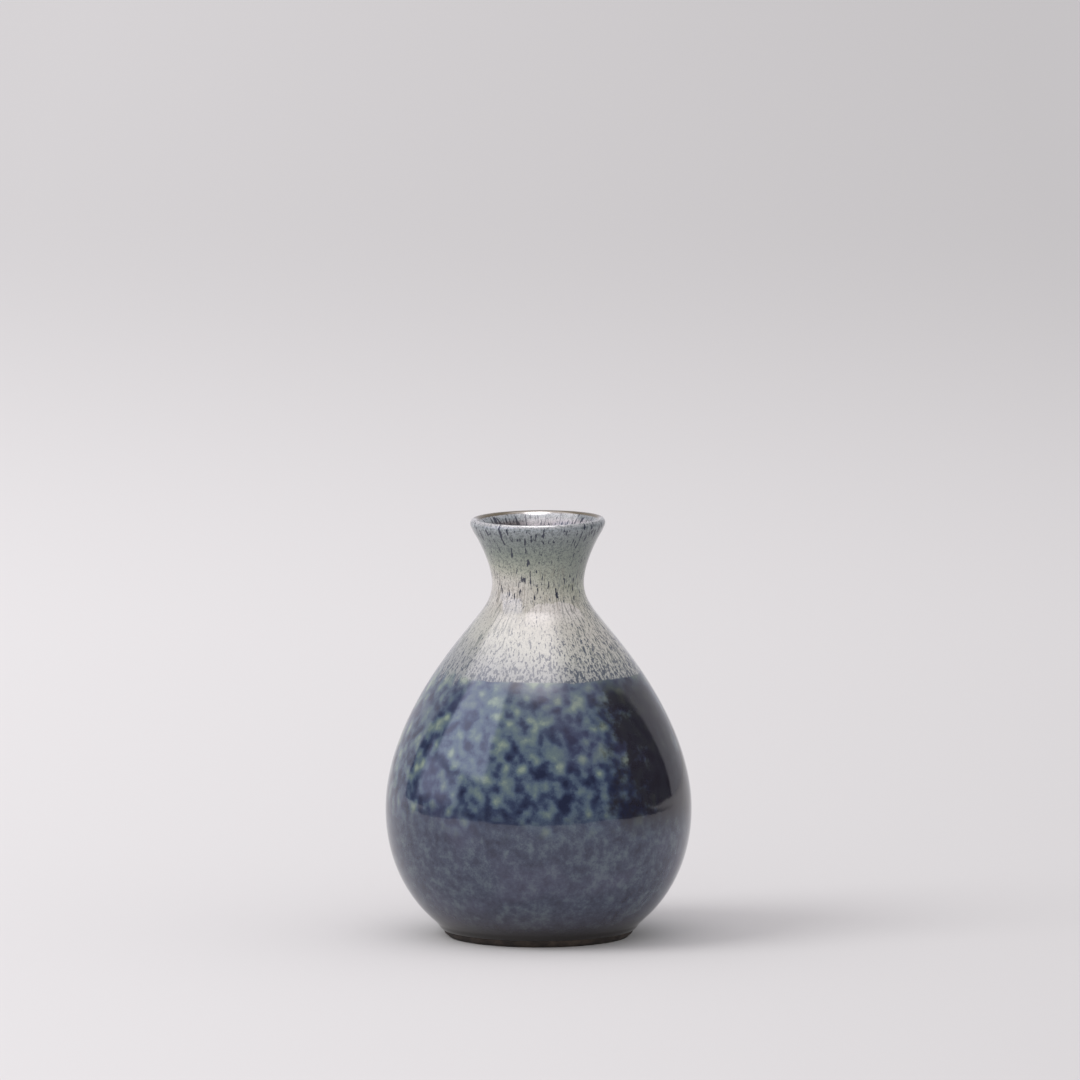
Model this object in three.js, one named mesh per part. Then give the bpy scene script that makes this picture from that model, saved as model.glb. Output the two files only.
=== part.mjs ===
// Sake bottle: a thrown stoneware bottle with its coats of fired glaze.
// Millimetres, +Z up. The origin is on the table, at the centre of the foot ring.
import * as THREE from "three";

// ---- Driving dimensions -------------------------------------------------------------------

// Overall form, measured over the glaze.
const HEIGHT = 118; // table to the top of the lip
const BELLY_RADIUS = 43;
const BELLY_HEIGHT = 36; // where the belly is widest
const SHOULDER_RADIUS = 25.4;
const SHOULDER_HEIGHT = 79.7; // where the shoulder turns from full to hollow
const SHOULDER_LEAN = 0.75; // how far it draws in for each millimetre of rise
const NECK_RADIUS = 12.9;
const NECK_HEIGHT = 99.5; // where the neck is narrowest
const LIP_RADIUS = 17.45; // centre line of the rolled lip
const LIP_THICKNESS = 3;
const LIP_FLARE = 0.57; // how far the mouth opens for each millimetre of rise

// How full each sweep of the outline is: lengths of the handles of its curves.
const BELLY_UNDER_FULLNESS = [12, 13];
const BELLY_OVER_FULLNESS = [16, 14];
const SHOULDER_SWEEP = [14.5, 5.6];
const MOUTH_SWEEP = [5.4, 5];

// Foot.
const FOOT_RADIUS = 26.3; // at the table
const FOOT_CORNER_RADIUS = 28; // where the foot meets the belly
const FOOT_CORNER_HEIGHT = 3.3;
const FOOT_CORNER_EASE = 1.2; // how far each side of that corner is rounded
const BELLY_SPRING_ANGLE = 40; // degrees above the table at which the belly leaves the foot
const FOOT_CHAMFER = 0.6;
const WELL_RADIUS = 22; // hollow under the foot
const WELL_DEPTH = 2.6;
const WELL_EASE = 1;

// Walls and coats.
const WALL = 3; // clay of the belly and neck
const FLOOR_HEIGHT = 7; // inside floor above the table
const FLOOR_EASE = 5; // height over which the wall turns into the floor
const GLAZE = 0.4; // thickness of every coat
const FOOT_GLAZE_LINE = 1.8; // heights at which one coat ends and the next surface begins
const WELL_GLAZE_LINE = 1.3;
const SHOULDER_GLAZE_LINE = 75;
const MOUTH_GLAZE_LINE = 104;

// Fineness of the facets.
const STEP = 5.2; // longest stretch of outline between two rings
const FEWEST_STEPS = 3;
const LIP_STEPS = [5, 3]; // up to the top of the lip, and down from it
const FLOOR_STEPS = 4;
const SEGMENTS = 40; // around the axis

// ---- Outline ------------------------------------------------------------------------------
// A profile is drawn with x as the radius and y as the height. It runs anticlockwise, from the
// middle of the underside, up the outside, over the lip and down to the middle of the floor,
// so that the clay is always on its left.

const point = (x, y) => new THREE.Vector2(x, y);
const along = (from, direction, length) => from.clone().addScaledVector(direction, length);
const UP = point(0, 1);

/** A place on the glazed surface: its point, and the direction straight out of the wall. */
function station(place, travel) {
  return { place, out: point(travel.y, -travel.x).normalize() };
}

function stationOn(curve, t) {
  return station(curve.getPoint(t), curve.getTangent(t));
}

/** The clay under a station, which lies one coat of glaze below the surface. */
const clayUnder = ({ place, out }) => along(place, out, -GLAZE);

/** The share of the curve at which a surface that rises or falls steadily reaches a height. */
function shareAtHeight(surface, curve, height) {
  let [low, high] = [0, 1];
  const rises = surface(curve, 1).place.y > surface(curve, 0).place.y;
  for (let i = 0; i < 50; i++) {
    const middle = (low + high) / 2;
    if (surface(curve, middle).place.y < height === rises) low = middle;
    else high = middle;
  }
  return (low + high) / 2;
}

/** Stations of a surface that follows these curves, with one exactly at each line's height. */
function stationsOf(surface, curves, lines) {
  const made = [];
  for (const [i, curve] of curves.entries()) {
    const steps = Math.max(FEWEST_STEPS, Math.ceil(curve.getLength() / STEP));
    let shares = Array.from({ length: steps + 1 }, (_, k) => k / steps);
    const ends = [surface(curve, 0).place.y, surface(curve, 1).place.y];
    for (const line of lines) {
      if (line <= Math.min(...ends) || line >= Math.max(...ends)) continue;
      const share = shareAtHeight(surface, curve, line);
      shares = shares.filter((t) => t === 0 || t === 1 || Math.abs(t - share) * steps > 0.35);
      shares.push(share);
    }
    shares.sort((a, b) => a - b);
    if (i > 0) shares.shift(); // the curve before it ends on this station
    made.push(...shares.map((t) => surface(curve, t)));
  }
  return made;
}

/** The outside, from the table to the lip. */
function outsideCurves(lipStart, lipTravel) {
  const ground = point(FOOT_RADIUS, 0);
  const corner = point(FOOT_CORNER_RADIUS, FOOT_CORNER_HEIGHT);
  const footSide = corner.clone().sub(ground).normalize();
  const angle = THREE.MathUtils.degToRad(BELLY_SPRING_ANGLE);
  const spring = point(Math.cos(angle), Math.sin(angle));
  const cornerStart = along(corner, footSide, -FOOT_CORNER_EASE);
  const cornerEnd = along(corner, spring, FOOT_CORNER_EASE);
  const belly = point(BELLY_RADIUS, BELLY_HEIGHT);
  const shoulder = point(SHOULDER_RADIUS, SHOULDER_HEIGHT);
  const lean = point(-SHOULDER_LEAN, 1).normalize();
  const neck = point(NECK_RADIUS, NECK_HEIGHT);
  const sweep = (from, fromTravel, to, toTravel, [leaving, arriving]) =>
    new THREE.CubicBezierCurve(
      from,
      along(from, fromTravel, leaving),
      along(to, toTravel, -arriving),
      to,
    );
  return [
    new THREE.LineCurve(ground, cornerStart),
    new THREE.QuadraticBezierCurve(cornerStart, corner, cornerEnd),
    sweep(cornerEnd, spring, belly, UP, BELLY_UNDER_FULLNESS),
    sweep(belly, UP, shoulder, lean, BELLY_OVER_FULLNESS),
    sweep(shoulder, lean, neck, UP, SHOULDER_SWEEP),
    sweep(neck, UP, lipStart, lipTravel, MOUTH_SWEEP),
  ];
}

/** The wall's full thickness, glaze and all: even up to the neck, then thinning to the lip. */
function wallAt(height) {
  const wall = WALL + 2 * GLAZE;
  const rise = THREE.MathUtils.clamp((height - NECK_HEIGHT) / (HEIGHT - NECK_HEIGHT), 0, 1);
  return THREE.MathUtils.lerp(wall, LIP_THICKNESS, rise);
}

/** The inside of the wall, straight across from a place on the outside. */
function insideOf(curve, t) {
  const { place, out } = stationOn(curve, t);
  return { place: along(place, out, -wallAt(place.y)), out: out.clone().negate() };
}

const lipTravel = point(LIP_FLARE, 1).normalize();
const lipCentre = point(LIP_RADIUS, HEIGHT - LIP_THICKNESS / 2);
const lipOut = station(lipCentre, lipTravel).out;
const lipStart = along(lipCentre, lipOut, LIP_THICKNESS / 2);
const wallCurves = outsideCurves(lipStart, lipTravel);

/** Stations round a part of the lip's circle, after the first direction and up to the last. */
function lipArc(first, last, steps) {
  const made = [];
  for (let i = 1; i <= steps; i++) {
    const out = first.clone().rotateAround(point(0, 0), (first.angleTo(last) * i) / steps);
    made.push({ place: along(lipCentre, out, LIP_THICKNESS / 2), out });
  }
  return made;
}

/** Half a turn over the lip, from the outside to the inside, without its two ends. */
function lipStations() {
  const rising = lipArc(lipOut, UP, LIP_STEPS[0]);
  const falling = lipArc(UP, lipOut.clone().negate(), LIP_STEPS[1]);
  return [...rising, ...falling.slice(0, -1)];
}

/** The inside, from the lip down the wall to where the floor begins to turn. */
function insideWallStations() {
  const turn = FLOOR_HEIGHT + FLOOR_EASE;
  const stations = stationsOf(insideOf, wallCurves.slice(2), [turn, MOUTH_GLAZE_LINE]);
  const near = 1e-6; // the station at the turn is found by halving, so it is this close to it
  return stations.filter(({ place }) => place.y > turn - near).reverse();
}

/** The floor, from the foot of the inside wall to the axis. */
function floorStations(wallFoot) {
  const down = point(-wallFoot.out.y, wallFoot.out.x);
  const reach = (wallFoot.place.y - FLOOR_HEIGHT) / -down.y;
  const corner = along(wallFoot.place, down, reach);
  const flatStart = along(corner, point(-1, 0), reach);
  const turn = new THREE.QuadraticBezierCurve(wallFoot.place, corner, flatStart);
  const flat = new THREE.LineCurve(flatStart, point(0, FLOOR_HEIGHT));
  const made = [];
  for (let i = 1; i <= FLOOR_STEPS; i++) made.push(stationOn(turn, i / FLOOR_STEPS));
  made.push(stationOn(flat, 0.5), stationOn(flat, 1));
  return made;
}

/** The hollow under the foot, from the axis to the inner edge of the ring. */
function wellStations() {
  const corner = point(WELL_RADIUS, WELL_DEPTH);
  const ceilingEnd = along(corner, point(-1, 0), WELL_EASE);
  const sideStart = along(corner, point(0, -1), WELL_EASE);
  const ceiling = new THREE.LineCurve(point(0, WELL_DEPTH), ceilingEnd);
  const turn = new THREE.QuadraticBezierCurve(ceilingEnd, corner, sideStart);
  const side = new THREE.LineCurve(sideStart, point(WELL_RADIUS, FOOT_CHAMFER));
  const made = [stationOn(ceiling, 0), stationOn(ceiling, 0.5)];
  made.push(...stationsOf(stationOn, [turn, side], [WELL_GLAZE_LINE]));
  return made;
}

// ---- Solids -------------------------------------------------------------------------------

/** A solid of revolution about +Z from a profile of radius and height. */
function turned(profile) {
  const spun = new THREE.LatheGeometry(profile, SEGMENTS);
  return spun.rotateX(Math.PI / 2);
}

const isOnAxis = ({ place }) => Math.abs(place.x) < 1e-9;

/** The coat of glaze over a run of stations. */
function coat(stations) {
  const surface = stations.map(({ place }) => place);
  const under = stations.map(clayUnder).reverse();
  if (isOnAxis(stations[0])) return turned([...surface, ...under]);
  if (isOnAxis(stations.at(-1))) return turned([...under, ...surface]);
  return turned([...surface, ...under, surface[0]]);
}

/** The stations from one height to another, both included. */
function between(stations, low, high) {
  const near = 1e-6; // a line's own station is found by halving, so it is this close to it
  return stations.filter(({ place }) => place.y > low - near && place.y < high + near);
}

const well = wellStations();
const outside = stationsOf(stationOn, wallCurves, [FOOT_GLAZE_LINE, SHOULDER_GLAZE_LINE]);
const lip = lipStations();
const insideWall = insideWallStations();
const floor = floorStations(insideWall.at(-1));

function clayBody() {
  // The foot stands on bare clay, with its two edges broken.
  const outerEdge = FOOT_RADIUS - GLAZE;
  const innerEdge = WELL_RADIUS + GLAZE;
  const ring = [
    point(innerEdge + FOOT_CHAMFER, 0),
    point(outerEdge - FOOT_CHAMFER, 0),
    point(outerEdge, FOOT_CHAMFER),
  ];
  const wall = outside.filter(({ place }) => place.y > FOOT_CHAMFER);
  const skin = [...wall, ...lip, ...insideWall, ...floor];
  return turned([...well.map(clayUnder), ...ring, ...skin.map(clayUnder)]);
}

const blueCoat = () => coat(between(outside, FOOT_GLAZE_LINE, SHOULDER_GLAZE_LINE));

function creamCoat() {
  const shoulder = between(outside, SHOULDER_GLAZE_LINE, HEIGHT);
  const mouth = between(insideWall, MOUTH_GLAZE_LINE, HEIGHT);
  return coat([...shoulder, ...lip, ...mouth]);
}

const innerCoat = () => coat([...between(insideWall, 0, MOUTH_GLAZE_LINE), ...floor]);

const wellCoat = () => coat(between(well, WELL_GLAZE_LINE, WELL_DEPTH));

// ---- Scene graph --------------------------------------------------------------------------

const clay = new THREE.MeshStandardMaterial({ color: 0x6e5a4b, roughness: 0.9 });
const blueGlaze = new THREE.MeshStandardMaterial({ color: 0x2f3c55, roughness: 0.12 });
const creamGlaze = new THREE.MeshStandardMaterial({ color: 0xc9c6b8, roughness: 0.15 });

const bottle = new THREE.Group();

function add(name, geometry, material) {
  const mesh = new THREE.Mesh(geometry, material);
  mesh.name = name;
  bottle.add(mesh);
}

add("clay_body", clayBody(), clay);
add("blue_glaze", blueCoat(), blueGlaze);
add("cream_glaze", creamCoat(), creamGlaze);
add("inner_glaze", innerCoat(), blueGlaze);
add("well_glaze", wellCoat(), blueGlaze);

export default bottle;
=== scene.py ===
"""A glazed stoneware sake bottle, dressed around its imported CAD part.

The outline comes from the CAD nodes. The clay body and each coat of glaze are thrown from it
ring by ring as smooth solids, which replace the faceted ones, and are then given their finishes.
Lengths are in metres unless a name says otherwise.
"""

import logging
import math
from dataclasses import dataclass, field
from enum import Enum
from typing import Any, Callable, Sequence

import bmesh
import bpy
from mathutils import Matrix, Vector
from mathutils.geometry import interpolate_bezier


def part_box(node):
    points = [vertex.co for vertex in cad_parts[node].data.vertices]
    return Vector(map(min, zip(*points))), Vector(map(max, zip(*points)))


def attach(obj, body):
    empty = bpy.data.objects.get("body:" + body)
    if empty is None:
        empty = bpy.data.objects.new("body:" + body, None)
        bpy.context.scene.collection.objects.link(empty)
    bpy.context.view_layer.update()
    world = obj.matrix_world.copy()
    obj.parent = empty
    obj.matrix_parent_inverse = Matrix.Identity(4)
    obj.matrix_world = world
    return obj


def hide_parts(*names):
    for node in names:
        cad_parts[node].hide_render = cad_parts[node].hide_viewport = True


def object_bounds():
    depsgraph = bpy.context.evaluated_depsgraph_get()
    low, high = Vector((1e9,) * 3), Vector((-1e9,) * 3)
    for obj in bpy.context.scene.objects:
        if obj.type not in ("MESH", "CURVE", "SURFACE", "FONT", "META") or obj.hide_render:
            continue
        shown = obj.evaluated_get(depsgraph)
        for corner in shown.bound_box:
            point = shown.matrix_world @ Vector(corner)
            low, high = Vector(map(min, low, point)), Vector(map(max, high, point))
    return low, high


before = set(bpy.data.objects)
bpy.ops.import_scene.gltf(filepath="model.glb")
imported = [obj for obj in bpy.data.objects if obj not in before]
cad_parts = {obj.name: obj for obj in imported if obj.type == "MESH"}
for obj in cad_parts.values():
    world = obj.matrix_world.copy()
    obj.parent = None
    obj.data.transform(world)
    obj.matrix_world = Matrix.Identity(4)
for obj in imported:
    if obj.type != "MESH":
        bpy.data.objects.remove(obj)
cad_box = [list(corner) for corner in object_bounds()]

log = logging.getLogger("sake_bottle")

MM = 0.001
SEGMENTS = 180  # vertices in each thrown ring
AXIS = 1e-6  # closer to the axis than this counts as on it
NEAR = 0.01 * MM  # closer to a ring than this counts as on it
SOFT_ANGLE = math.radians(50)  # faces that meet at less than this look as one

Colour = tuple[float, float, float]
Span = tuple[float, float]  # where a step starts, and where it is complete
Socket = bpy.types.NodeSocket
Object = bpy.types.Object


class Slot(Enum):
    """The record's material slots."""

    CLAY = "stoneware_clay"
    BLUE = "blue_glaze"
    CREAM = "cream_glaze"
    LINER = "inner_glaze"


# ---- Shader maths --------------------


class Value:
    """A number in a node tree that takes part in Python expressions."""

    def __init__(self, nodes: "Nodes", socket: Socket) -> None:
        """Wraps an output socket of the tree that nodes writes to."""
        self.nodes = nodes
        self.socket = socket

    def _math(self, operation: str, *operands: Any) -> "Value":
        """One Math node.

        Args:
            operation: the Math node's operation.
            operands: its inputs in order, as values or numbers.

        Returns:
            The node's result.
        """
        inputs = dict(enumerate(operands))
        node = self.nodes.add("ShaderNodeMath", {"operation": operation}, inputs)
        return Value(self.nodes, node.outputs[0])

    def __add__(self, other: Any) -> "Value":
        """Sum."""
        return self._math("ADD", self, other)

    __radd__ = __add__

    def __sub__(self, other: Any) -> "Value":
        """Difference."""
        return self._math("SUBTRACT", self, other)

    def __rsub__(self, other: Any) -> "Value":
        """Difference from a number."""
        return self._math("SUBTRACT", other, self)

    def __mul__(self, other: Any) -> "Value":
        """Product."""
        return self._math("MULTIPLY", self, other)

    __rmul__ = __mul__

    def __truediv__(self, other: Any) -> "Value":
        """Quotient."""
        return self._math("DIVIDE", self, other)

    def __rtruediv__(self, other: Any) -> "Value":
        """Quotient of a number."""
        return self._math("DIVIDE", other, self)

    def __pow__(self, other: Any) -> "Value":
        """Power."""
        return self._math("POWER", self, other)

    def absolute(self) -> "Value":
        """Distance from zero."""
        return self._math("ABSOLUTE", self)

    def greatest(self, other: Any) -> "Value":
        """The larger of two values."""
        return self._math("MAXIMUM", self, other)

    def least(self, other: Any) -> "Value":
        """The smaller of two values."""
        return self._math("MINIMUM", self, other)

    def arcsine(self) -> "Value":
        """The angle in degrees that has this sine."""
        return self._math("ARCSINE", self) * math.degrees(1)

    def angle_from(self, other: Any) -> "Value":
        """The angle in degrees whose tangent is this value over another."""
        return self._math("ARCTAN2", self, other) * math.degrees(1)

    def rise(self, start: Any, end: Any) -> "Value":
        """A smooth step.

        Args:
            start: where it is 0.
            end: where it is 1. It may be below start, and the step then falls.

        Returns:
            A value from 0 to 1.
        """
        settings = {"interpolation_type": "SMOOTHSTEP"}
        inputs = {"Value": self, "From Min": start, "From Max": end}
        node = self.nodes.add("ShaderNodeMapRange", settings, inputs)
        return Value(self.nodes, node.outputs["Result"])

    def band(self, start: float, full: float, fade: float, end: float) -> "Value":
        """A smooth step up from start to full, and down again from fade to end."""
        return self.rise(start, full) * self.rise(end, fade)


class Nodes:
    """Writes the nodes of one tree."""

    def __init__(self, tree: bpy.types.NodeTree) -> None:
        """Starts with an empty tree."""
        tree.nodes.clear()
        self.tree = tree

    def add(self, kind: str, settings: dict[str, Any], inputs: dict[Any, Any]) -> bpy.types.Node:
        """Adds a node.

        Args:
            kind: the node's type.
            settings: its properties, set first. A ramp's stops go under "stops".
            inputs: the values or links of its sockets, by name or index.

        Returns:
            The new node.
        """
        node = self.tree.nodes.new(kind)
        for name, setting in settings.items():
            if name == "stops":
                self._set_stops(node.color_ramp, setting)
            else:
                setattr(node, name, setting)
        for key, value in inputs.items():
            if isinstance(value, Value):
                value = value.socket
            if isinstance(value, Socket):
                self.tree.links.new(value, node.inputs[key])
            else:
                node.inputs[key].default_value = value
        return node

    @staticmethod
    def _set_stops(ramp: bpy.types.ColorRamp, stops: Sequence[tuple[float, Colour]]) -> None:
        """Gives a colour ramp its stops.

        Args:
            ramp: the ramp.
            stops: places from 0 to 1, and their colours.
        """
        while len(ramp.elements) < len(stops):
            ramp.elements.new(1.0)
        for element, (place, colour) in zip(ramp.elements, stops):
            element.position = place
            element.color = (*colour, 1.0)

    def place(self) -> tuple[Value, Value, Value]:
        """Reads where a point of the piece is.

        Returns:
            Its x, y and z in millimetres.
        """
        here = self.add("ShaderNodeTexCoord", {}, {}).outputs["Object"]
        apart = self.add("ShaderNodeSeparateXYZ", {}, {0: here})
        x, y, z = (Value(self, socket) / MM for socket in apart.outputs)
        return x, y, z

    def vector(self, x: Any, y: Any, z: Any) -> Socket:
        """A vector from its three parts."""
        return self.add("ShaderNodeCombineXYZ", {}, {0: x, 1: y, 2: z}).outputs[0]

    def noise(self, at: Socket, scale: float, detail: float = 2.0,
              roughness: float = 0.5, distortion: float = 0.0) -> Value:
        """Reads a Pattern of these values at any place.

        Args:
            at: the place, as a vector.
            scale, detail, roughness, distortion: the Pattern's values.

        Returns:
            A value round 0.5.
        """
        inputs = {"Vector": at, "Scale": scale, "Detail": detail, "Roughness": roughness,
                  "Distortion": distortion}
        return Value(self, self.add("ShaderNodeTexNoise", {}, inputs).outputs[0])

    def cells(self, at: Socket, scale: float, softness: float = 0.5) -> Value:
        """How far a point is from the nearest of many scattered centres.

        Args:
            at: where it is read.
            scale: centres per unit.
            softness: how far neighbouring cells melt into each other.

        Returns:
            About 0 at a centre and 1 far from all of them.
        """
        inputs = {"Vector": at, "Scale": scale, "Smoothness": softness}
        node = self.add("ShaderNodeTexVoronoi", {"feature": "SMOOTH_F1"}, inputs)
        return Value(self, node.outputs["Distance"])

    def mix(self, share: Any, first: Any, second: Any) -> Socket:
        """A blend of two colours.

        Args:
            share: how much of the second there is.
            first: a colour or a link.
            second: a colour or a link.

        Returns:
            The blended colour.
        """
        colours = [(*c, 1.0) if isinstance(c, tuple) else c for c in (first, second)]
        settings = {"data_type": "RGBA"}
        inputs = {"Factor": share, 6: colours[0], 7: colours[1]}
        return self.add("ShaderNodeMix", settings, inputs).outputs[2]

    def ramp(self, value: Value, stops: Sequence[tuple[float, Colour]]) -> Socket:
        """The colour at a value on a scale, whose stops are places from 0 to 1 and colours."""
        node = self.add("ShaderNodeValToRGB", {"stops": stops}, {"Fac": value})
        return node.outputs["Color"]

    def bump(self, height: Value, depth_mm: float) -> Socket:
        """A normal from a relief of 0 to 1 and how deep that relief is."""
        inputs = {"Strength": 1.0, "Distance": depth_mm * MM, "Height": height}
        return self.add("ShaderNodeBump", {}, inputs).outputs[0]


def new_material(name: str) -> tuple[bpy.types.Material, Nodes]:
    """Makes an empty material.

    Args:
        name: its name.

    Returns:
        The material, and the writer of its nodes.
    """
    material = bpy.data.materials.new(name)
    material.use_nodes = True
    return material, Nodes(material.node_tree)


def shade(nodes: Nodes, sockets: dict[str, Any]) -> None:
    """Ends a tree in a Principled shader with these values or links of its sockets."""
    principled = nodes.add("ShaderNodeBsdfPrincipled", {}, sockets)
    nodes.add("ShaderNodeOutputMaterial", {}, {"Surface": principled.outputs[0]})


# ---- Finishes --------------------


@dataclass(frozen=True)
class BareClay:
    """Fired stoneware that no glaze covers: brown, matt and gritty."""

    light: Colour = (0.060, 0.043, 0.033)
    dark: Colour = (0.024, 0.018, 0.015)
    grit: Colour = (0.012, 0.010, 0.009)
    roughness: float = 0.82
    relief_mm: float = 0.12

    def material(self) -> bpy.types.Material:
        """Makes the material.

        Returns:
            The material.
        """
        material, nodes = new_material("bare_clay")
        here = nodes.vector(*nodes.place())
        cloud = nodes.noise(here, 0.22, 4.0).rise(0.35, 0.65)
        speck = nodes.noise(here, 2.6, 1.0).rise(0.60, 0.68)
        colour = nodes.mix(speck, nodes.mix(cloud, self.dark, self.light), self.grit)
        relief = nodes.noise(here, 3.2, 3.0) + nodes.noise(here, 0.9, 2.0) * 0.6
        shade(nodes, {"Base Color": colour, "Roughness": self.roughness,
                      "Normal": nodes.bump(relief, self.relief_mm)})
        return material


class Spot:
    """A point of the outer wall, and how far it is in the zones of the glaze there."""

    def __init__(self, nodes: Nodes, glaze: "RunGlaze") -> None:
        """Reads where the point is on the piece, in millimetres.

        Args:
            nodes: the writer of the material's nodes.
            glaze: the glaze that has the zones.
        """
        self.nodes = nodes
        self.x, self.y, self.z = nodes.place()
        self.here = nodes.vector(self.x, self.y, self.z)
        self.radius = ((self.x * self.x + self.y * self.y) ** 0.5).greatest(0.5)
        self.across = self.x / self.radius  # from -1 at the left edge to 1 at the right
        self.turn = self.x.angle_from(self.y * -1.0)  # degrees from the front to the right
        self.grain = Pattern(2.6, 2.0, 0.6).at(self) - 0.5
        self.level = self.z - self.x * glaze.lip_slope  # height above the tilt of the lip
        self.within = glaze.within_mouth(self)
        # the paler tongue, partly a painted reflection of the overhead panel
        self.run = glaze.on_run_and_reflection(self)


@dataclass(frozen=True)
class Pattern:
    """A soft random pattern round 0.5."""

    scale: float  # waves per millimetre
    detail: float = 2.0  # how many finer patterns are laid over it
    roughness: float = 0.5  # how strong these are
    distortion: float = 0.0  # how far it is stirred
    drum_mm: float = 0.0  # radius of the drum that it is wrapped on, or 0 for none
    stretch: float = 1.0  # on the drum, how many times longer it is down the wall than round it
    shift: float = 0.0  # moves it, so that two patterns differ

    def at(self, spot: Spot) -> Value:
        """Reads the pattern.

        On a drum it has the same number of waves round the bottle at every height.

        Args:
            spot: the point.

        Returns:
            The pattern's value there.
        """
        where = spot.here
        if self.drum_mm:
            turn = self.drum_mm / spot.radius
            across, along = spot.x * turn + self.shift, spot.y * turn
            where = spot.nodes.vector(across, along, spot.z / self.stretch)
        return spot.nodes.noise(where, self.scale, self.detail, self.roughness, self.distortion)


@dataclass(frozen=True)
class Marking:
    """A colour that lies over the glaze, and how much of it shows."""

    share: float
    colour: Colour

    def over(self, under: Any, where: Value) -> Socket:
        """Lays the colour over another where a mask is 1."""
        return where.nodes.mix(where * self.share, under, self.colour)


@dataclass(frozen=True)
class RunGlaze:
    """The two outer glazes, which ran into each other where they meet.

    Above the line it is pale with dark streaks that run down the wall. Below it, it is navy
    with soft pale spots. Both coats wear it, so that the colours go on across their joint.
    Heights and radii are in millimetres.
    """

    line_mm: float  # height of the joint
    lip_mm: float  # height of the top of the lip
    lip_slope: float = 0.016  # how far the lip is out of level
    roughness: float = 0.07
    ior: float = 1.58
    relief_mm: float = 0.05

    mouth_mm: float = 104.0  # height of the joint inside the mouth
    mouth_radius_mm: float = 11.7  # the middle of the wall there
    mouth_flare: float = 0.31  # how much wider it is for each millimetre above that
    crest_radius_mm: float = 17.9  # the lip is thinly glazed inside this
    neck: Span = (97.0, 106.0)  # heights over which its denser marks set in
    ground: tuple = (  # heights, and the pale glaze's colour there
        (76.0, (0.250, 0.255, 0.255)),
        (83.0, (0.385, 0.38, 0.345)),
        (90.0, (0.43, 0.41, 0.37)),
        (98.0, (0.46, 0.44, 0.385)),
        (103.0, (0.34, 0.35, 0.29)),
        (109.0, (0.22, 0.245, 0.21)),
        (113.5, (0.205, 0.228, 0.222)),
        (116.8, (0.29, 0.31, 0.33)),
        (118.0, (0.46, 0.45, 0.46)),
    )
    side_shade_tilt_mm: float = 5.0  # how much higher these heights are at the left than in front: painted light, lighter at the left and darker at the right
    mouth: tuple = (  # the same for the inside of the mouth
        (104.0, (0.16, 0.13, 0.13)),
        (111.0, (0.30, 0.26, 0.28)),
        (118.0, (0.46, 0.43, 0.45)),
    )

    run: Marking = Marking(0.85, (0.57, 0.535, 0.51))  # a tongue of paler glaze on the neck base, partly a painted reflection of the overhead panel
    run_turn: float = 19.0  # degrees to the right of the front where its middle is
    run_reach: float = 27.0  # degrees from there to where its rounded top falls off
    run_top_mm: float = 95.7
    left_run: Marking = Marking(0.55, (0.57, 0.535, 0.51))
    # the flecks' colour, which is also the colour of the painted shade on the right side of the
    # neck
    fleck: Colour = (0.070, 0.085, 0.085)
    right_painted_shade: float = 0.38  # how much of that colour is laid over the right side of the neck as painted shade
    flecks: Pattern = Pattern(1.6, 3.0, 0.7)
    mottle: Marking = Marking(0.42, (0.050, 0.064, 0.072))
    mottles: Pattern = Pattern(1.1, 3.0, 0.65, drum_mm=15.5, stretch=1.5, shift=90.0)
    hair: Marking = Marking(0.45, (0.15, 0.135, 0.11))  # thin lines down the neck base
    hairs: Pattern = Pattern(1.5, 2.0, 0.55, drum_mm=17.0, stretch=9.0, shift=70.0)
    trail: Marking = Marking(0.62, (0.085, 0.100, 0.095))  # longer ones on the sides
    trails: Pattern = Pattern(1.15, 2.0, 0.5, 0.3, drum_mm=21.0, stretch=4.5, shift=15.0)
    dash: Marking = Marking(0.86, (0.036, 0.048, 0.072))  # short ones on the shoulder
    dashes: Pattern = Pattern(1.55, 2.0, 0.6, 0.3, drum_mm=27.0, stretch=1.8)
    streak: Marking = Marking(0.95, (0.018, 0.022, 0.040))  # the darkest, on the neck and lip
    streaks: Pattern = Pattern(1.30, 1.0, 0.45, 0.05, drum_mm=15.5, stretch=3.2, shift=40.0)
    # painted shade inside the left of the mouth, where the lip shades it
    mouth_painted_shade: Marking = Marking(0.85, (0.036, 0.026, 0.022))
    thin: Marking = Marking(0.95, (0.085, 0.062, 0.028))  # clay that shows through on the lip

    belly: tuple = (  # from the deepest to the palest of the belly's clouds
        (0.22, (0.015, 0.019, 0.042)),
        (0.38, (0.032, 0.044, 0.082)),
        (0.50, (0.066, 0.092, 0.130)),
        (0.64, (0.099, 0.134, 0.142)),
        (0.84, (0.200, 0.245, 0.195)),
    )
    low_belly: tuple = (  # the same for the finer clouds lower down
        (0.28, (0.017, 0.020, 0.042)),
        (0.50, (0.037, 0.046, 0.078)),
        (0.72, (0.080, 0.102, 0.124)),
    )
    low_belly_span: Span = (42.0, 31.0)  # heights between which these take over
    violet: Marking = Marking(0.20, (0.090, 0.085, 0.140))
    deep: Marking = Marking(0.93, (0.017, 0.015, 0.020))  # painted shade on the right of the belly, away from the light
    painted_shade_facing: tuple[float, float] = (0.86, -0.51)  # the way the middle of that painted shade faces, along x and y
    dusk: Marking = Marking(0.5, (0.050, 0.040, 0.046))  # darker towards the foot
    # the foot: partly glaze thinning towards the clay, partly painted shade where it meets the
    # table
    foot_thin_glaze_and_shade: Colour = (0.016, 0.013, 0.012)

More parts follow.
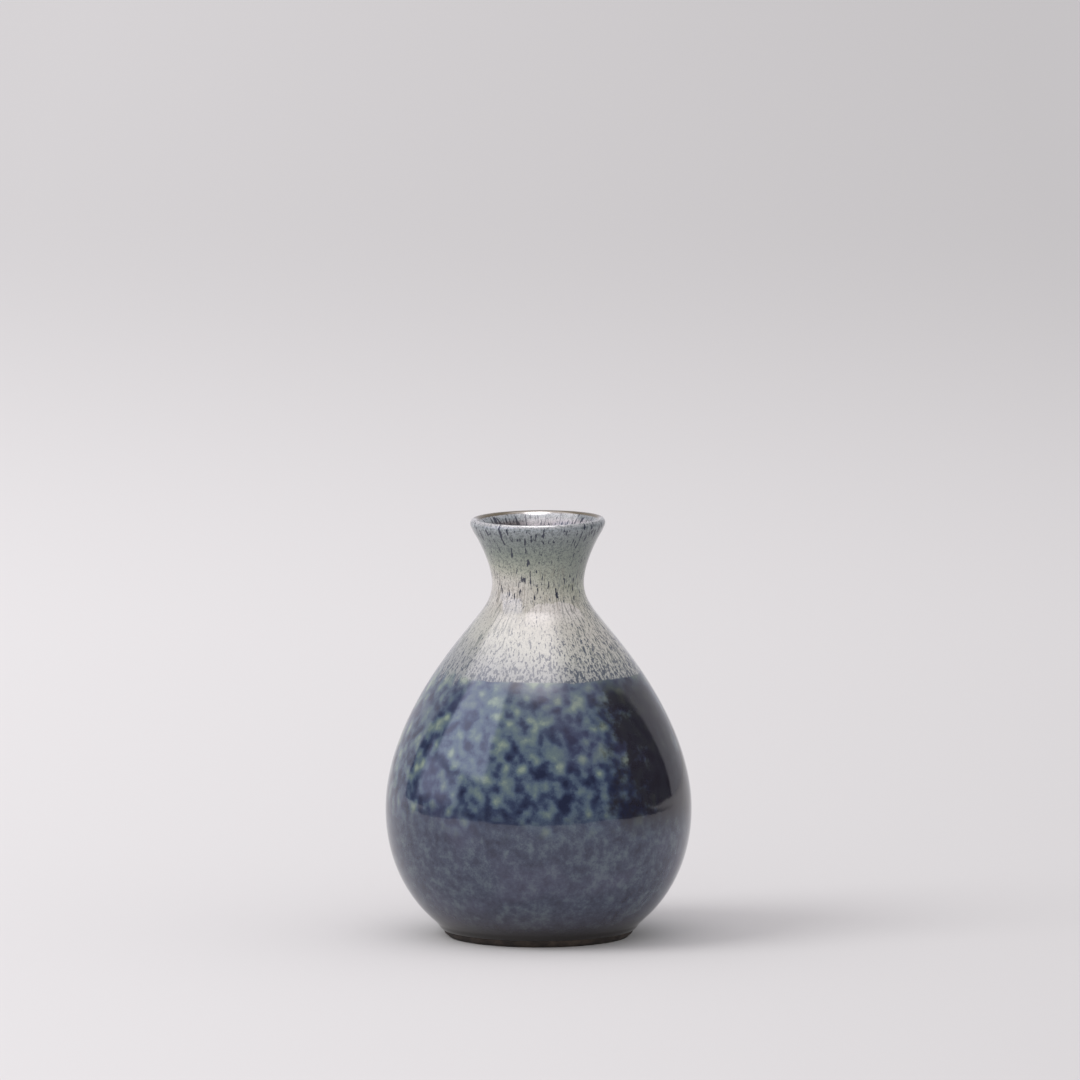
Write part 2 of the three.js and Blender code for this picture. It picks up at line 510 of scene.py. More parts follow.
    def material(self, name: str) -> bpy.types.Material:
        """Makes the material.

        Args:
            name: its name, which is that of its slot or coat.

        Returns:
            The material.
        """
        material, nodes = new_material(name)
        spot = Spot(nodes, self)
        colour = nodes.mix(self._above_line(spot), self._lower(spot), self._upper(spot))
        relief = Pattern(0.16).at(spot) + Pattern(2.2).at(spot) * 0.03
        shade(nodes, {"Base Color": colour, "Roughness": self.roughness, "IOR": self.ior,
                      "Normal": nodes.bump(relief, self.relief_mm)})
        return material

    def within_mouth(self, spot: Spot) -> Value:
        """1 inside the mouth and 0 outside."""
        middle = (spot.level - self.mouth_mm) * self.mouth_flare + self.mouth_radius_mm
        return (middle - spot.radius).rise(-0.35, 0.35) * spot.z.rise(100.0, 101.0)

    def on_run_and_reflection(self, spot: Spot) -> Value:
        """Finds the tongue of paler glaze on the neck base, with its rounded top, which is partly
        a painted reflection of the overhead panel.

        Args:
            spot: the point.

        Returns:
            1 on the tongue and 0 off it.
        """
        waver = (Pattern(0.35).at(spot) - 0.5) * 1.6
        off = (spot.turn - self.run_turn).absolute()
        top = self.run_top_mm - (off / self.run_reach) ** 4.0 * 1.4 + waver
        run = (top - spot.z).rise(-0.15, 0.25) * spot.z.rise(88.5, 93.5)
        return run * (off + waver * 3.0).rise(34.0, 29.0)

    def _above_line(self, spot: Spot) -> Value:
        """Finds the pale glaze: above a crisp line in front, above streaky runs elsewhere.

        Args:
            spot: the point.

        Returns:
            How much of the pale glaze there is.
        """
        soft = ((spot.y * 0.3 - spot.x * 0.8) / spot.radius).rise(0.16, 0.46)
        runs = Pattern(0.8, 3.0, 0.6, drum_mm=26.0, stretch=4.0, shift=9.0).at(spot) - 0.5
        wander = Pattern(0.10, 1.0, drum_mm=26.0, stretch=60.0).at(spot) - 0.5
        level = spot.z + runs * (soft * 9.0 + 0.5) + spot.grain * (soft * 5.0 + 0.7)
        level = level + wander * 1.2
        reach = soft * 2.2 + 0.25
        return level.rise(self.line_mm - reach, self.line_mm + reach)

    def _upper(self, spot: Spot) -> Socket:
        """Paints the pale glaze: its ground, then the marks and painted shade on it from fine to
        coarse.

        Args:
            spot: the point.

        Returns:
            The colour.
        """
        colour = self._pale_ground(spot)
        for add_marks in (self._flecks, self._dashes, self._streaks, self._lip):
            colour = add_marks(spot, colour)
        return colour

    def _pale_ground(self, spot: Spot) -> Socket:
        """Paints the pale glaze without its marks, with painted shade on the right side of the
        neck.

        Args:
            spot: the point.

        Returns:
            The colour.
        """
        # painted light: the heights shift so that the left of the neck reads lighter and the
        # right darker
        tilt = spot.across * spot.z.rise(111.0, 102.0) * self.side_shade_tilt_mm
        outside = self._by_height(spot.level + tilt, self.ground)
        outside = self.run.over(outside, spot.run)
        left = spot.turn.rise(5.0, -25.0) * spot.z.band(92.0, 96.5, 99.0, 105.0)
        outside = self.left_run.over(outside, left)
        colour = spot.nodes.mix(spot.within, outside, self._by_height(spot.level, self.mouth))
        # painted shade on the right side of the neck, away from the light
        right = spot.across.rise(0.1, 0.9) * (1 - spot.within) * spot.z.rise(*self.neck)
        return spot.nodes.mix(right * self.right_painted_shade, colour, self.fleck)

    @staticmethod
    def _by_height(height: Value, colours: tuple) -> Socket:
        """Reads a scale of colours by height.

        Args:
            height: the height in millimetres.
            colours: heights, and the colours there.

        Returns:
            The colour at the height.
        """
        low, high = colours[0][0], colours[-1][0]
        stops = [((at - low) / (high - low), colour) for at, colour in colours]
        return height.nodes.ramp((height - low) / (high - low), stops)

    def _flecks(self, spot: Spot, colour: Socket) -> Socket:
        """Adds flecks, denser ones under the lip, and thin lines down the base and the sides.

        Args:
            spot: the point.
            colour: the glaze without them.

        Returns:
            The glaze with them.
        """
        fleck = (self.flecks.at(spot) + spot.grain * 0.7).rise(0.47, 0.62)
        fleck = fleck * (spot.z.rise(*self.neck) * 0.32 + 0.28)
        colour = spot.nodes.mix(fleck, colour, self.fleck)
        mottle = (self.mottles.at(spot) + spot.grain * 0.2).rise(0.49, 0.62)
        mottle = mottle * spot.z.rise(104.0, 110.0) * (1 - spot.within * 0.4)
        colour = self.mottle.over(colour, mottle)
        hair = self.hairs.at(spot).rise(0.50, 0.66) * spot.z.band(88.0, 95.0, 103.0, 108.0)
        colour = self.hair.over(colour, hair)
        sides = spot.across.absolute().rise(0.22, 0.60) * spot.z.band(77.0, 81.0, 94.0, 99.0)
        trail = (self.trails.at(spot) + spot.grain * 0.10).rise(0.535, 0.62)
        return self.trail.over(colour, trail * sides)

    def _dashes(self, spot: Spot, colour: Socket) -> Socket:
        """Adds short dashes to the shoulder: most near the line and at the sides.

        Args:
            spot: the point.
            colour: the glaze without them.

        Returns:
            The glaze with them.
        """
        near_line = spot.z.rise(self.line_mm + 9.0, self.line_mm + 0.5)
        sparse = spot.z.rise(self.line_mm + 8.0, self.line_mm + 17.0)
        flank = spot.across.rise(0.1, 0.8) - spot.across.rise(-0.5, -0.9)
        limit = 0.520 - near_line * 0.065 + sparse * 0.045 - flank * 0.03 + spot.run * 0.05
        dash = (self.dashes.at(spot) + spot.grain * 0.14).rise(limit, limit + 0.12)
        return self.dash.over(colour, dash * (1 - spot.z.rise(*self.neck)))

    def _streaks(self, spot: Spot, colour: Socket) -> Socket:
        """Adds dark streaks to the neck and mouth, denser under the lip and round the neck.

        Args:
            spot: the point.
            colour: the glaze without them.

        Returns:
            The glaze with them.
        """
        under_lip = spot.z.rise(111.5, 113.5) * spot.level.rise(117.3, 116.0)
        round_neck = spot.z.band(98.0, 100.0, 103.0, 105.0)
        limit = 0.650 - under_lip * 0.085 - round_neck * 0.040 - spot.within * 0.02
        streak = (self.streaks.at(spot) + spot.grain * 0.10).rise(limit, limit + 0.045)
        return self.streak.over(colour, streak * spot.z.rise(95.0, 97.0))

    def _lip(self, spot: Spot, colour: Socket) -> Socket:
        """Adds painted shade in the left of the mouth, and the thin glaze on the back of the lip.

        Args:
            spot: the point.
            colour: the glaze without them.

        Returns:
            The glaze with them.
        """
        # painted shade: darkens the left of the mouth's inside, below the lip
        brown = spot.within * spot.x.rise(0.0, -9.0) * spot.level.rise(117.6, 116.8)
        colour = self.mouth_painted_shade.over(colour, brown)
        crest = (spot.level + spot.grain * 0.3).rise(self.lip_mm - 0.8, self.lip_mm - 0.5)
        crest = crest * (self.crest_radius_mm - spot.radius).rise(-0.8, -0.3)
        return self.thin.over(colour, crest * spot.y.rise(-3.0, 5.0))

    def _lower(self, spot: Spot) -> Socket:
        """Paints the dark glaze: clouds of navy, teal and pale green, finer lower down, with
        painted shade on its right and a foot band that is partly thin glaze and partly painted
        shade.

        Args:
            spot: the point.

        Returns:
            The colour.
        """
        nodes, x, y, z, grain = spot.nodes, spot.x, spot.y, spot.z, spot.grain
        fine = Pattern(0.85, 2.0, 0.6).at(spot) - 0.5
        drawn = nodes.vector(x + 31.0 + fine * 1.2, y, z * 0.85)
        clouds = nodes.noise(drawn, 0.20, 1.0, 0.4) - 0.5
        spots = 0.79 - nodes.cells(drawn, 0.25, 0.7) * 0.62 + clouds * 0.22
        spots = spots - z.rise(56.0, 42.0) * 0.09 + z.rise(66.0, 73.0) * 0.05
        between = (Pattern(0.38, 0.5).at(spot) - 0.5) * 0.66
        high = nodes.ramp(spots + between + fine * 0.20 + grain * 0.16, self.belly)
        small = Pattern(0.36, 3.0, 0.65).at(spot) + clouds * 0.35 + grain * 0.30
        low = nodes.ramp(small, self.low_belly)
        fall = z + (Pattern(0.12).at(spot) - 0.5) * 14.0
        colour = nodes.mix(fall.rise(*self.low_belly_span), high, low)
        tint = nodes.noise(nodes.vector(x, y, z + 50.0), 0.06, 1.5).rise(0.50, 0.66)
        colour = self.violet.over(colour, tint)
        # painted shade: darkens the side of the belly that faces right, away from the light
        facing = (x * self.painted_shade_facing[0] + y * self.painted_shade_facing[1]) / spot.radius
        deep = (facing + fine * 0.16 + clouds * 0.20).rise(0.84, 0.97)
        colour = self.deep.over(colour, deep * z.band(30.0, 40.0, 70.0, 79.0))
        colour = self.dusk.over(colour, z.rise(14.0, 4.0))
        # the foot band: partly thin glaze, partly painted shade
        return nodes.mix((z + grain * 3.0).rise(8.0, 2.5), colour, self.foot_thin_glaze_and_shade)


@dataclass(frozen=True)
class LinerGlaze:
    """The plain glaze inside the bottle, with a few runs below the mouth."""

    ground: Colour = (0.22, 0.20, 0.20)
    deep: Colour = (0.10, 0.09, 0.09)
    run: Marking = Marking(0.7, (0.04, 0.04, 0.06))
    roughness: float = 0.10
    ior: float = 1.55
    relief_mm: float = 0.06

    def material(self) -> bpy.types.Material:
        """Makes the material.

        Returns:
            The material.
        """
        material, nodes = new_material("liner_glaze")
        x, y, z = nodes.place()
        here = nodes.vector(x, y, z)
        cloud = nodes.noise(here, 0.35, 4.0, 0.6).rise(0.35, 0.7)
        runs = nodes.noise(nodes.vector(x, y, z * 0.25), 0.9, 2.0).rise(0.55, 0.65)
        colour = nodes.mix(cloud, self.ground, self.deep)
        colour = self.run.over(colour, runs * z.rise(80.0, 100.0))
        relief = nodes.noise(here, 0.2, 2.0)
        shade(nodes, {"Base Color": colour, "Roughness": self.roughness, "IOR": self.ior,
                      "Normal": nodes.bump(relief, self.relief_mm)})
        return material


# ---- Outlines --------------------
# An outline is a list of points that hold a radius and a height.


def half_section(node: str) -> tuple[set[tuple], list[tuple]]:
    """The points and edges of a CAD node in the half plane y = 0, x >= 0.

    Args:
        node: the name of a turned CAD node.

    Returns:
        Its points, as rounded (radius, height) pairs, and the edges between them.
    """
    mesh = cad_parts[node].data
    flat = {}
    for vertex in mesh.vertices:
        if abs(vertex.co.y) < AXIS and vertex.co.x > -AXIS:
            flat[vertex.index] = (round(max(vertex.co.x, 0.0), 6), round(vertex.co.z, 6))
    pairs = []
    for edge in mesh.edges:
        first, second = edge.vertices
        if first in flat and second in flat and flat[first] != flat[second]:
            pairs.append((flat[first], flat[second]))
    return set(flat.values()), pairs


def glazed_stations(nodes: Sequence[str], clay: set[tuple]) -> list[Vector]:
    """The points along the glazed surface of some coats that follow one another.

    Args:
        nodes: the coats' CAD nodes.
        clay: the clay body's points, which the undersides of the coats share.

    Returns:
        The points in order, from the end away from the axis to the one on it.
    """
    beside: dict[tuple, set] = {}
    for node in nodes:
        _, pairs = half_section(node)
        for first, second in pairs:
            if first not in clay and second not in clay:
                beside.setdefault(first, set()).add(second)
                beside.setdefault(second, set()).add(first)
    ends = [point for point, others in beside.items() if len(others) == 1]
    walk = [max(ends)]
    while len(walk) < len(beside):
        walk.append(next(p for p in beside[walk[-1]] if p not in walk[-2:]))
    return [Vector(point) for point in walk]


def refine(stations: Sequence[Vector], spacing: float) -> list[Vector]:
    """A smooth curve through an outline's points.

    Args:
        stations: the points it passes through.
        spacing: the longest step between the new points.

    Returns:
        The curve's points, the given ones among them.
    """
    slopes = [Vector((0.0, 0.0))] * len(stations)
    steps = [b - a for a, b in zip(stations, stations[1:])]
    for i in range(1, len(stations) - 1):
        before, after = steps[i - 1], steps[i]
        far, near = before.length, after.length
        slopes[i] = (before * (near / far) + after * (far / near)) / (far + near)
    slopes[0] = steps[0].normalized() * 2 - slopes[1].normalized()
    slopes[-1] = steps[-1].normalized() * 2 - slopes[-2].normalized()
    made = [stations[0].copy()]
    for i, step in enumerate(steps):
        count = max(3, math.ceil(step.length / spacing) + 1)
        reach = step.length / 3
        knots = (stations[i], stations[i] + slopes[i] * reach,
                 stations[i + 1] - slopes[i + 1] * reach, stations[i + 1])
        curve = interpolate_bezier(*[k.to_3d() for k in knots], count)
        made.extend(point.to_2d() for point in curve[1:])
    return made


def outward(outline: Sequence[Vector]) -> list[Vector]:
    """Finds the way out of the surface at each point of an outline.

    Args:
        outline: the outline, with the solid on its left.

    Returns:
        The directions, each of length 1.
    """
    directions = []
    for i in range(len(outline)):
        travel = outline[min(i + 1, len(outline) - 1)] - outline[max(i - 1, 0)]
        directions.append(Vector((travel.y, -travel.x)).normalized())
    return directions


def sunk(outline: Sequence[Vector], depth: Callable[[float], float]) -> list[Vector]:
    """An outline moved into the surface.

    Args:
        outline: the surface's points.
        depth: how far a point moves, from its distance along the outline.

    Returns:
        The moved points.
    """
    run = 0.0
    made = []
    for i, (point, out) in enumerate(zip(outline, outward(outline))):
        if i > 0:
            run += (point - outline[i - 1]).length
        moved = point - out * depth(run)
        made.append(Vector((max(moved.x, 0.0), moved.y)))
    return made


# ---- Pieces --------------------


def only(piece: Object) -> None:
    """Makes one object the only selected one, and the active one.

    Args:
        piece: the object.
    """
    bpy.ops.object.select_all(action="DESELECT")
    piece.select_set(True)
    bpy.context.view_layer.objects.active = piece


def throw(name: str, outline: Sequence[Vector]) -> Object:
    """Throws a solid ring by ring.

    Args:
        name: the piece's name.
        outline: its profile, which starts and ends on the axis, or else closes on itself.

    Returns:
        The piece, with its faces pointing out.
    """
    starts_on_axis = outline[0].x < AXIS
    ends_on_axis = outline[-1].x < AXIS
    rings = outline[1 if starts_on_axis else 0:-1 if ends_on_axis else None]
    bpy.ops.object.select_all(action="DESELECT")
    bpy.ops.mesh.primitive_circle_add(vertices=SEGMENTS, radius=rings[0].x)
    piece = bpy.context.object
    piece.name = name
    bpy.ops.object.mode_set(mode="EDIT")
    bpy.ops.mesh.select_all(action="SELECT")
    bpy.ops.transform.translate(value=(0, 0, rings[0].y))
    for below, ring in zip(rings, rings[1:]):
        rise = (0, 0, ring.y - below.y)
        bpy.ops.mesh.extrude_region_move(TRANSFORM_OT_translate={"value": rise})
        widen = ring.x / below.x
        bpy.ops.transform.resize(value=(widen, widen, 1), center_override=(0, 0, ring.y))
    if ends_on_axis:
        close_on_axis(outline[-1].y - rings[-1].y)
    if starts_on_axis:
        select_ring(piece, rings[0])
        close_on_axis(outline[0].y - rings[0].y)
    if not starts_on_axis and not ends_on_axis:
        bpy.ops.mesh.select_mode(type="EDGE")
        bpy.ops.mesh.select_all(action="DESELECT")
        bpy.ops.mesh.select_non_manifold()
        bpy.ops.mesh.bridge_edge_loops()
        bpy.ops.mesh.select_mode(type="VERT")
    bpy.ops.mesh.select_all(action="SELECT")
    bpy.ops.mesh.normals_make_consistent(inside=False)
    bpy.ops.object.mode_set(mode="OBJECT")
    only(piece)
    bpy.ops.object.shade_smooth_by_angle(angle=SOFT_ANGLE)
    return piece


def select_ring(piece: Object, ring: Vector) -> None:
    """Selects the vertices of one ring of a piece that is in edit mode.

    Args:
        piece: the piece.
        ring: the ring's radius and height.
    """
    bpy.ops.mesh.select_all(action="DESELECT")
    mesh = bmesh.from_edit_mesh(piece.data)
    for vertex in mesh.verts:
        off = abs(vertex.co.xy.length - ring.x) + abs(vertex.co.z - ring.y)
        vertex.select = off < NEAR
    mesh.select_flush(True)
    bmesh.update_edit_mesh(piece.data)


def close_on_axis(rise: float) -> None:
    """Draws the selected ring in to a point on the axis, that much higher."""
    bpy.ops.mesh.extrude_region_move(TRANSFORM_OT_translate={"value": (0, 0, rise)})
    bpy.ops.mesh.merge(type="CENTER")


@dataclass
class Warp:
    """What throwing and firing did to the true form: a slight lean, and a lip out of level."""

    lean: float = -0.25 * MM
    lip_tilt: float = 0.28 * MM  # how much higher the lip is at its right side
    levels: int = 7
    reach: float = 2.4  # how much wider the cage is than the lip
    cage: Object = field(init=False)

    def __post_init__(self) -> None:
        """Makes the cage round the CAD box and pushes its points."""
        low, high = (Vector(corner) for corner in cad_box)
        bpy.ops.object.select_all(action="DESELECT")
        bpy.ops.object.add(type="LATTICE", location=(low + high) / 2)
        self.cage = bpy.context.object
        self.cage.scale = high - low
        lattice = self.cage.data
        lattice.points_u = lattice.points_v = 2
        lattice.points_w = self.levels
        for i, point in enumerate(lattice.points):
            level = i // 4 / (self.levels - 1)
            lift = max(0.0, level - 0.5) * 2
            side = 1 if point.co.x > 0 else -1
            point.co_deform.x += lift * self.lean / self.cage.scale.x
            point.co_deform.z += side * lift ** 3 * self.lip_tilt * self.reach / self.cage.scale.z

    def apply(self, piece: Object) -> None:
        """Bends a piece with the cage.

        Args:
            piece: the piece.
        """
        only(piece)
        bpy.ops.object.modifier_add(type="LATTICE")
        modifier = piece.modifiers[-1]
        modifier.object = self.cage
        bpy.ops.object.modifier_apply(modifier=modifier.name)

    def remove(self) -> None:
        """Takes the cage away once every piece is bent."""
        only(self.cage)
        bpy.ops.object.delete()


@dataclass
class Bottle:
    """The whole bottle: a clay body and the coats of glaze on it."""

    spacing: float = 1.7 * MM  # the longest step along the outline
    roll_length: float = 0.9 * MM  # how far a coat's free edge takes to reach full thickness
    bead: float = 0.25  # how much thicker it is just behind that edge
    bead_middle: float = 1.4  # where it is thickest, in roll lengths
    bead_width: float = 0.7  # how far the bead spreads, in roll lengths
    lip_points: int = 12  # how many points before its top the lip's widest is looked for in
    lip_roll: float = 0.5 * MM  # how far the top of the lip leans out from its middle
    roll_fade: float = 3.5 * MM  # over what height inside the mouth that fades
    roll_end: float = 1.4  # how many such heights down it has faded
    glaze: float = field(init=False)

    def __post_init__(self) -> None:
        """Reads the outline from the CAD nodes."""
        clay, _ = half_section("clay_body")
        outer = ("blue_glaze", "cream_glaze", "inner_glaze")
        stations = glazed_stations(outer, clay)
        self.shoulder_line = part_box("blue_glaze")[1].z
        self.mouth_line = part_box("inner_glaze")[1].z
        self.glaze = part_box("clay_body")[0].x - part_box("blue_glaze")[0].x
        self.wall = self._press_lip(refine(stations, self.spacing))
        self.top = max(range(len(self.wall)), key=lambda i: self.wall[i].y)
        well = glazed_stations(("well_glaze",), clay)
        self.well = refine(well[::-1], self.spacing)
        foot_line = min(stations[0].y, well[0].y) - AXIS
        self.foot = sorted((Vector(p) for p in clay if p[1] < foot_line), key=lambda p: p.x)

    def build(self) -> dict[str, Object]:
        """Throws every piece.

        Returns:
            The pieces by the name of the CAD node that each stands for.
        """
        return {
            "clay_body": self._clay(),
            "blue_glaze": self._coat("blue_coat", self._foot_to_shoulder(), rolls_at_start=True),
            "cream_glaze": self._coat("cream_coat", self._shoulder_to_mouth()),
            "inner_glaze": self._coat("inner_coat", self._mouth_to_floor()),
            "well_glaze": self._coat("well_coat", self.well, rolls_at_end=True),
        }

    def _press_lip(self, wall: list[Vector]) -> list[Vector]:
        """Rolls the top of the lip outwards and keeps its thickness and height.

        Args:
            wall: the outline over the lip.

        Returns:
            The outline with the crest of the lip nearer to its outer edge.
        """
        top = max(range(len(wall)), key=lambda i: wall[i].y)
        crest = wall[top]
        half = max(point.x for point in wall[top - self.lip_points:top]) - crest.x
        made = []
        for i, point in enumerate(wall):
            if i < top:
                share = 1 - (point.x - crest.x) / half if point.y > crest.y - half else 0.0
            else:
                share = min(1.0, (point.y - crest.y) / self.roll_fade + self.roll_end)
            made.append(point + Vector((max(0.0, share) * self.lip_roll, 0.0)))
        return made

    def _cut(self, height: float, falling: bool) -> int:
        """The index of the wall's point at a height, on its way up or down."""
        side = range(self.top, len(self.wall)) if falling else range(self.top)
        return min(side, key=lambda i: abs(self.wall[i].y - height))

    def _foot_to_shoulder(self) -> list[Vector]:
        """The wall from the foot up to the shoulder line."""
        return self.wall[:self._cut(self.shoulder_line, falling=False) + 1]

    def _shoulder_to_mouth(self) -> list[Vector]:
        """The wall from the shoulder line over the lip to the mouth line."""
        first = self._cut(self.shoulder_line, falling=False)
        return self.wall[first:self._cut(self.mouth_line, falling=True) + 1]

    def _mouth_to_floor(self) -> list[Vector]:
        """The wall from the mouth line down to the middle of the floor."""
        return self.wall[self._cut(self.mouth_line, falling=True):]

    def _clay(self) -> Object:
        """The clay body, from under the foot over the lip to the floor."""
        under_well, under_wall = sunk(self.well, self._full), sunk(self.wall, self._full)
        return throw("thrown_body", [*under_well, *self.foot, *under_wall])

    def _full(self, run: float) -> float:
        """The thickness of a full coat, which is the same all along it."""
        return self.glaze

    def _coat(self, name: str, surface: Sequence[Vector], rolls_at_start: bool = False,
              rolls_at_end: bool = False) -> Object:
        """One coat of glaze.

        Args:
            name: the piece's name.
            surface: the outline of its glazed side.
            rolls_at_start: whether its first edge is free, and so rounded.
            rolls_at_end: the same for its last edge.

        Returns:
            The piece.
        """
        length = sum((b - a).length for a, b in zip(surface, surface[1:]))

        def missing(run: float) -> float:
            """Finds how much thinner than a full coat it is.

            Args:
                run: the distance along it.

            Returns:
                The missing thickness.
            """
            if not (rolls_at_start or rolls_at_end):
                return 0.0
            from_edge = (run if rolls_at_start else length - run) / self.roll_length
            left_out = 1 - min(1.0, from_edge)
            swell = self.bead * math.exp(-((from_edge - self.bead_middle) / self.bead_width) ** 2)
            return self.glaze * (1 - math.sqrt(1 - left_out ** 2) * (1 + swell))

        skin = sunk(surface, missing)
        under = sunk(surface, self._full)[::-1]
        ends_on_axis = surface[-1].x < AXIS
        return throw(name, [*under, *skin] if ends_on_axis else [*skin, *under])


# ---- Studio --------------------


@dataclass(frozen=True)
class Pane:
    """A bright rectangle in the mirrored room, in degrees as seen from the bottle."""

    azimuth: float  # of its middle, from the front to the right
    half_width: float
    elevation: float  # of its middle
    half_height: float
    edge: float  # how far it fades to each side of its edge

    def mask(self, azimuth: Value, elevation: Value) -> Value:
        """Finds the directions of the pane.

        Args:
            azimuth, elevation: a direction, in degrees.

        Returns:
            1 on the pane and 0 off it.
        """
        aside = (azimuth - self.azimuth).absolute() - self.half_width
        above = (elevation - self.elevation).absolute() - self.half_height
        return aside.greatest(above).rise(self.edge, -self.edge)


@dataclass
class Studio:
    """A pale table in soft light, and the camera."""

    camera_distance: float = 5.0
    camera_elevation: float = math.radians(7.6)  # of the camera, seen from the bottle
    camera_dip: float = math.radians(7.0)  # how far the camera looks down
    lens_mm: float = 593.7
    sensor_mm: float = 36.0
    look_height: float = 0.059
    aside: float = 0.0004
    floor_radius: float = 6.0
    table: Colour = (0.67, 0.660, 0.660)
    table_far: Marking = Marking(1.0, (0.536, 0.528, 0.528))  # painted shade behind the bottle, where the light falls off
    table_far_mm: Span = (600.0, 2000.0)  # how far behind it
    table_right_painted_shade: Marking = Marking(0.22, (0.134, 0.132, 0.132))  # painted shade at its right, away from the light
    table_half_width_mm: float = 540.0  # how far the mirrored table goes to each side
    table_front_mm: float = -430.0  # how far it goes to the front
    beyond_table: tuple = (0.012, 0.012, 0.016, 1.0)
    key_from: Colour = (-0.80, -0.36, 0.84)
    key_spread: float = math.radians(32)
    key_strength: float = 1.14
    panel_colour: Colour = (1.0, 0.950, 0.975)
    panel_mirrored: float = 5.2
    lamp_mirrored: float = 14.0
    panel_diffuse: float = 1.3
    backdrop: Colour = (0.76, 0.75, 0.80)
    backdrop_right: Marking = Marking(0.4, (0.1, 0.1, 0.11))
    dark_room: Colour = (0.02, 0.018, 0.024)
    dark_room_half_width: float = 122.0  # degrees to each side of the front
    dark_room_height: float = 57.5  # degrees
    window: Colour = (1.9, 2.0, 2.6)
    pane: Pane = Pane(-71.0, 26.0, 37.0, 17.0, 3.0)
    sill: Pane = Pane(-86.0, 20.0, 12.0, 8.0, 4.0)
    sill_light: float = 0.6  # its light as a share of the window's
    soft_fill: Colour = (0.62, 0.62, 0.65)
    low_fill: Colour = (1.7, 1.7, 1.7)
    seen: Colour = (0.56, 0.55, 0.57)  # the room where the camera looks past the table

    def build(self) -> None:
        """Makes the camera, the table, the lights and the surroundings."""
        self._camera()
        self._floor()
        self._lights()
        self._surroundings()
        bpy.context.scene.view_settings.view_transform = "Standard"

    def _camera(self) -> None:
        """A long lens from far off, just above the bottle."""
        back = self.camera_distance * math.cos(self.camera_elevation)
        height = self.look_height + self.camera_distance * math.sin(self.camera_elevation)
        tilt = math.pi / 2 - self.camera_dip
        bpy.ops.object.camera_add(location=(self.aside, -back, height), rotation=(tilt, 0, 0))
        camera = bpy.context.object
        camera.data.lens = self.lens_mm
        camera.data.sensor_width = self.sensor_mm
        camera.data.clip_end = 50.0
        bpy.context.scene.camera = camera

    def _floor(self) -> None:
        """The table top, with painted shade towards the back and the right."""
        bpy.ops.object.select_all(action="DESELECT")
        bpy.ops.mesh.primitive_circle_add(vertices=96, radius=self.floor_radius,
                                          fill_type="NGON")
        floor = bpy.context.object
        floor.name = "table_top"
        material, nodes = new_material("table_top")
        x, y, _ = nodes.place()
        # painted shade: the table darkens towards the back and the right
        colour = self.table_far.over(self.table, y.rise(*self.table_far_mm))
        aside = ((x + 200.0) / 400.0).greatest(0.0).least(1.0)
        colour = self.table_right_painted_shade.over(colour, aside)
        glossy = Value(nodes, nodes.add("ShaderNodeLightPath", {}, {}).outputs["Is Glossy Ray"])
        past_side = x.absolute() - self.table_half_width_mm
        off_table = past_side.greatest(self.table_front_mm - y).rise(-8.0, 8.0)
        hidden = glossy * off_table * y.rise(400.0, 0.0)
        diffuse = nodes.add("ShaderNodeBsdfDiffuse", {}, {"Color": colour})
        dark = nodes.add("ShaderNodeEmission", {}, {"Color": self.beyond_table})
        both = nodes.add("ShaderNodeMixShader", {},
                         {0: hidden, 1: diffuse.outputs[0], 2: dark.outputs[0]})
        nodes.add("ShaderNodeOutputMaterial", {}, {"Surface": both.outputs[0]})
        floor.data.materials.append(material)

    def _lights(self) -> None:
        """A soft key light from the left, which the glaze doesn't mirror."""
        direction = Vector(self.key_from).normalized()
        bpy.ops.object.light_add(type="SUN", location=direction)
        key = bpy.context.object
        key.data.angle = self.key_spread
        key.data.energy = self.key_strength
        key.rotation_euler = direction.to_track_quat("Z", "Y").to_euler()
        key.visible_glossy = False

    def _surroundings(self) -> None:
        """The room: a bright panel overhead, pale behind, dark in front, a window at left."""
        world = bpy.data.worlds.new("room")
        bpy.context.scene.world = world
        world.use_nodes = True
        nodes = Nodes(world.node_tree)
        way = nodes.add("ShaderNodeTexCoord", {}, {}).outputs["Generated"]
        apart = nodes.add("ShaderNodeSeparateXYZ", {}, {0: way})
        x, y, z = (Value(nodes, socket) for socket in apart.outputs)
        azimuth = x.angle_from(y * -1.0)
        elevation = z.arcsine()
        across = (azimuth.absolute() / self.dark_room_half_width) ** 2.5
        upward = (elevation.greatest(0.0) / self.dark_room_height) ** 2.5
        blur = upward * 0.20 + 0.03
        opening = (across + upward).rise(blur + 1.0, 1.0 - blur)
        sill = self.sill.mask(azimuth, elevation) * self.sill_light
        window = self.pane.mask(azimuth, elevation).greatest(sill)
        over_x = x / z.greatest(0.02)
        over_y = y / z.greatest(0.02)
        panel = over_x.band(-2.3, -0.6, 0.14, 0.62) * over_y.rise(0.60, 0.35)
        panel = panel * (z.rise(0.40, 0.85) * 0.6 + z.rise(0.35, 0.45) * 0.4)
        path = nodes.add("ShaderNodeLightPath", {}, {}).outputs
        mirrored = Value(nodes, path["Is Glossy Ray"])
        overhead = z.rise(0.958, 0.985) * self.lamp_mirrored + self.panel_mirrored
        strength = mirrored * (overhead - self.panel_diffuse) + self.panel_diffuse
        lit = nodes.add("ShaderNodeVectorMath", {"operation": "SCALE"},
                        {0: self.panel_colour, "Scale": strength}).outputs[0]
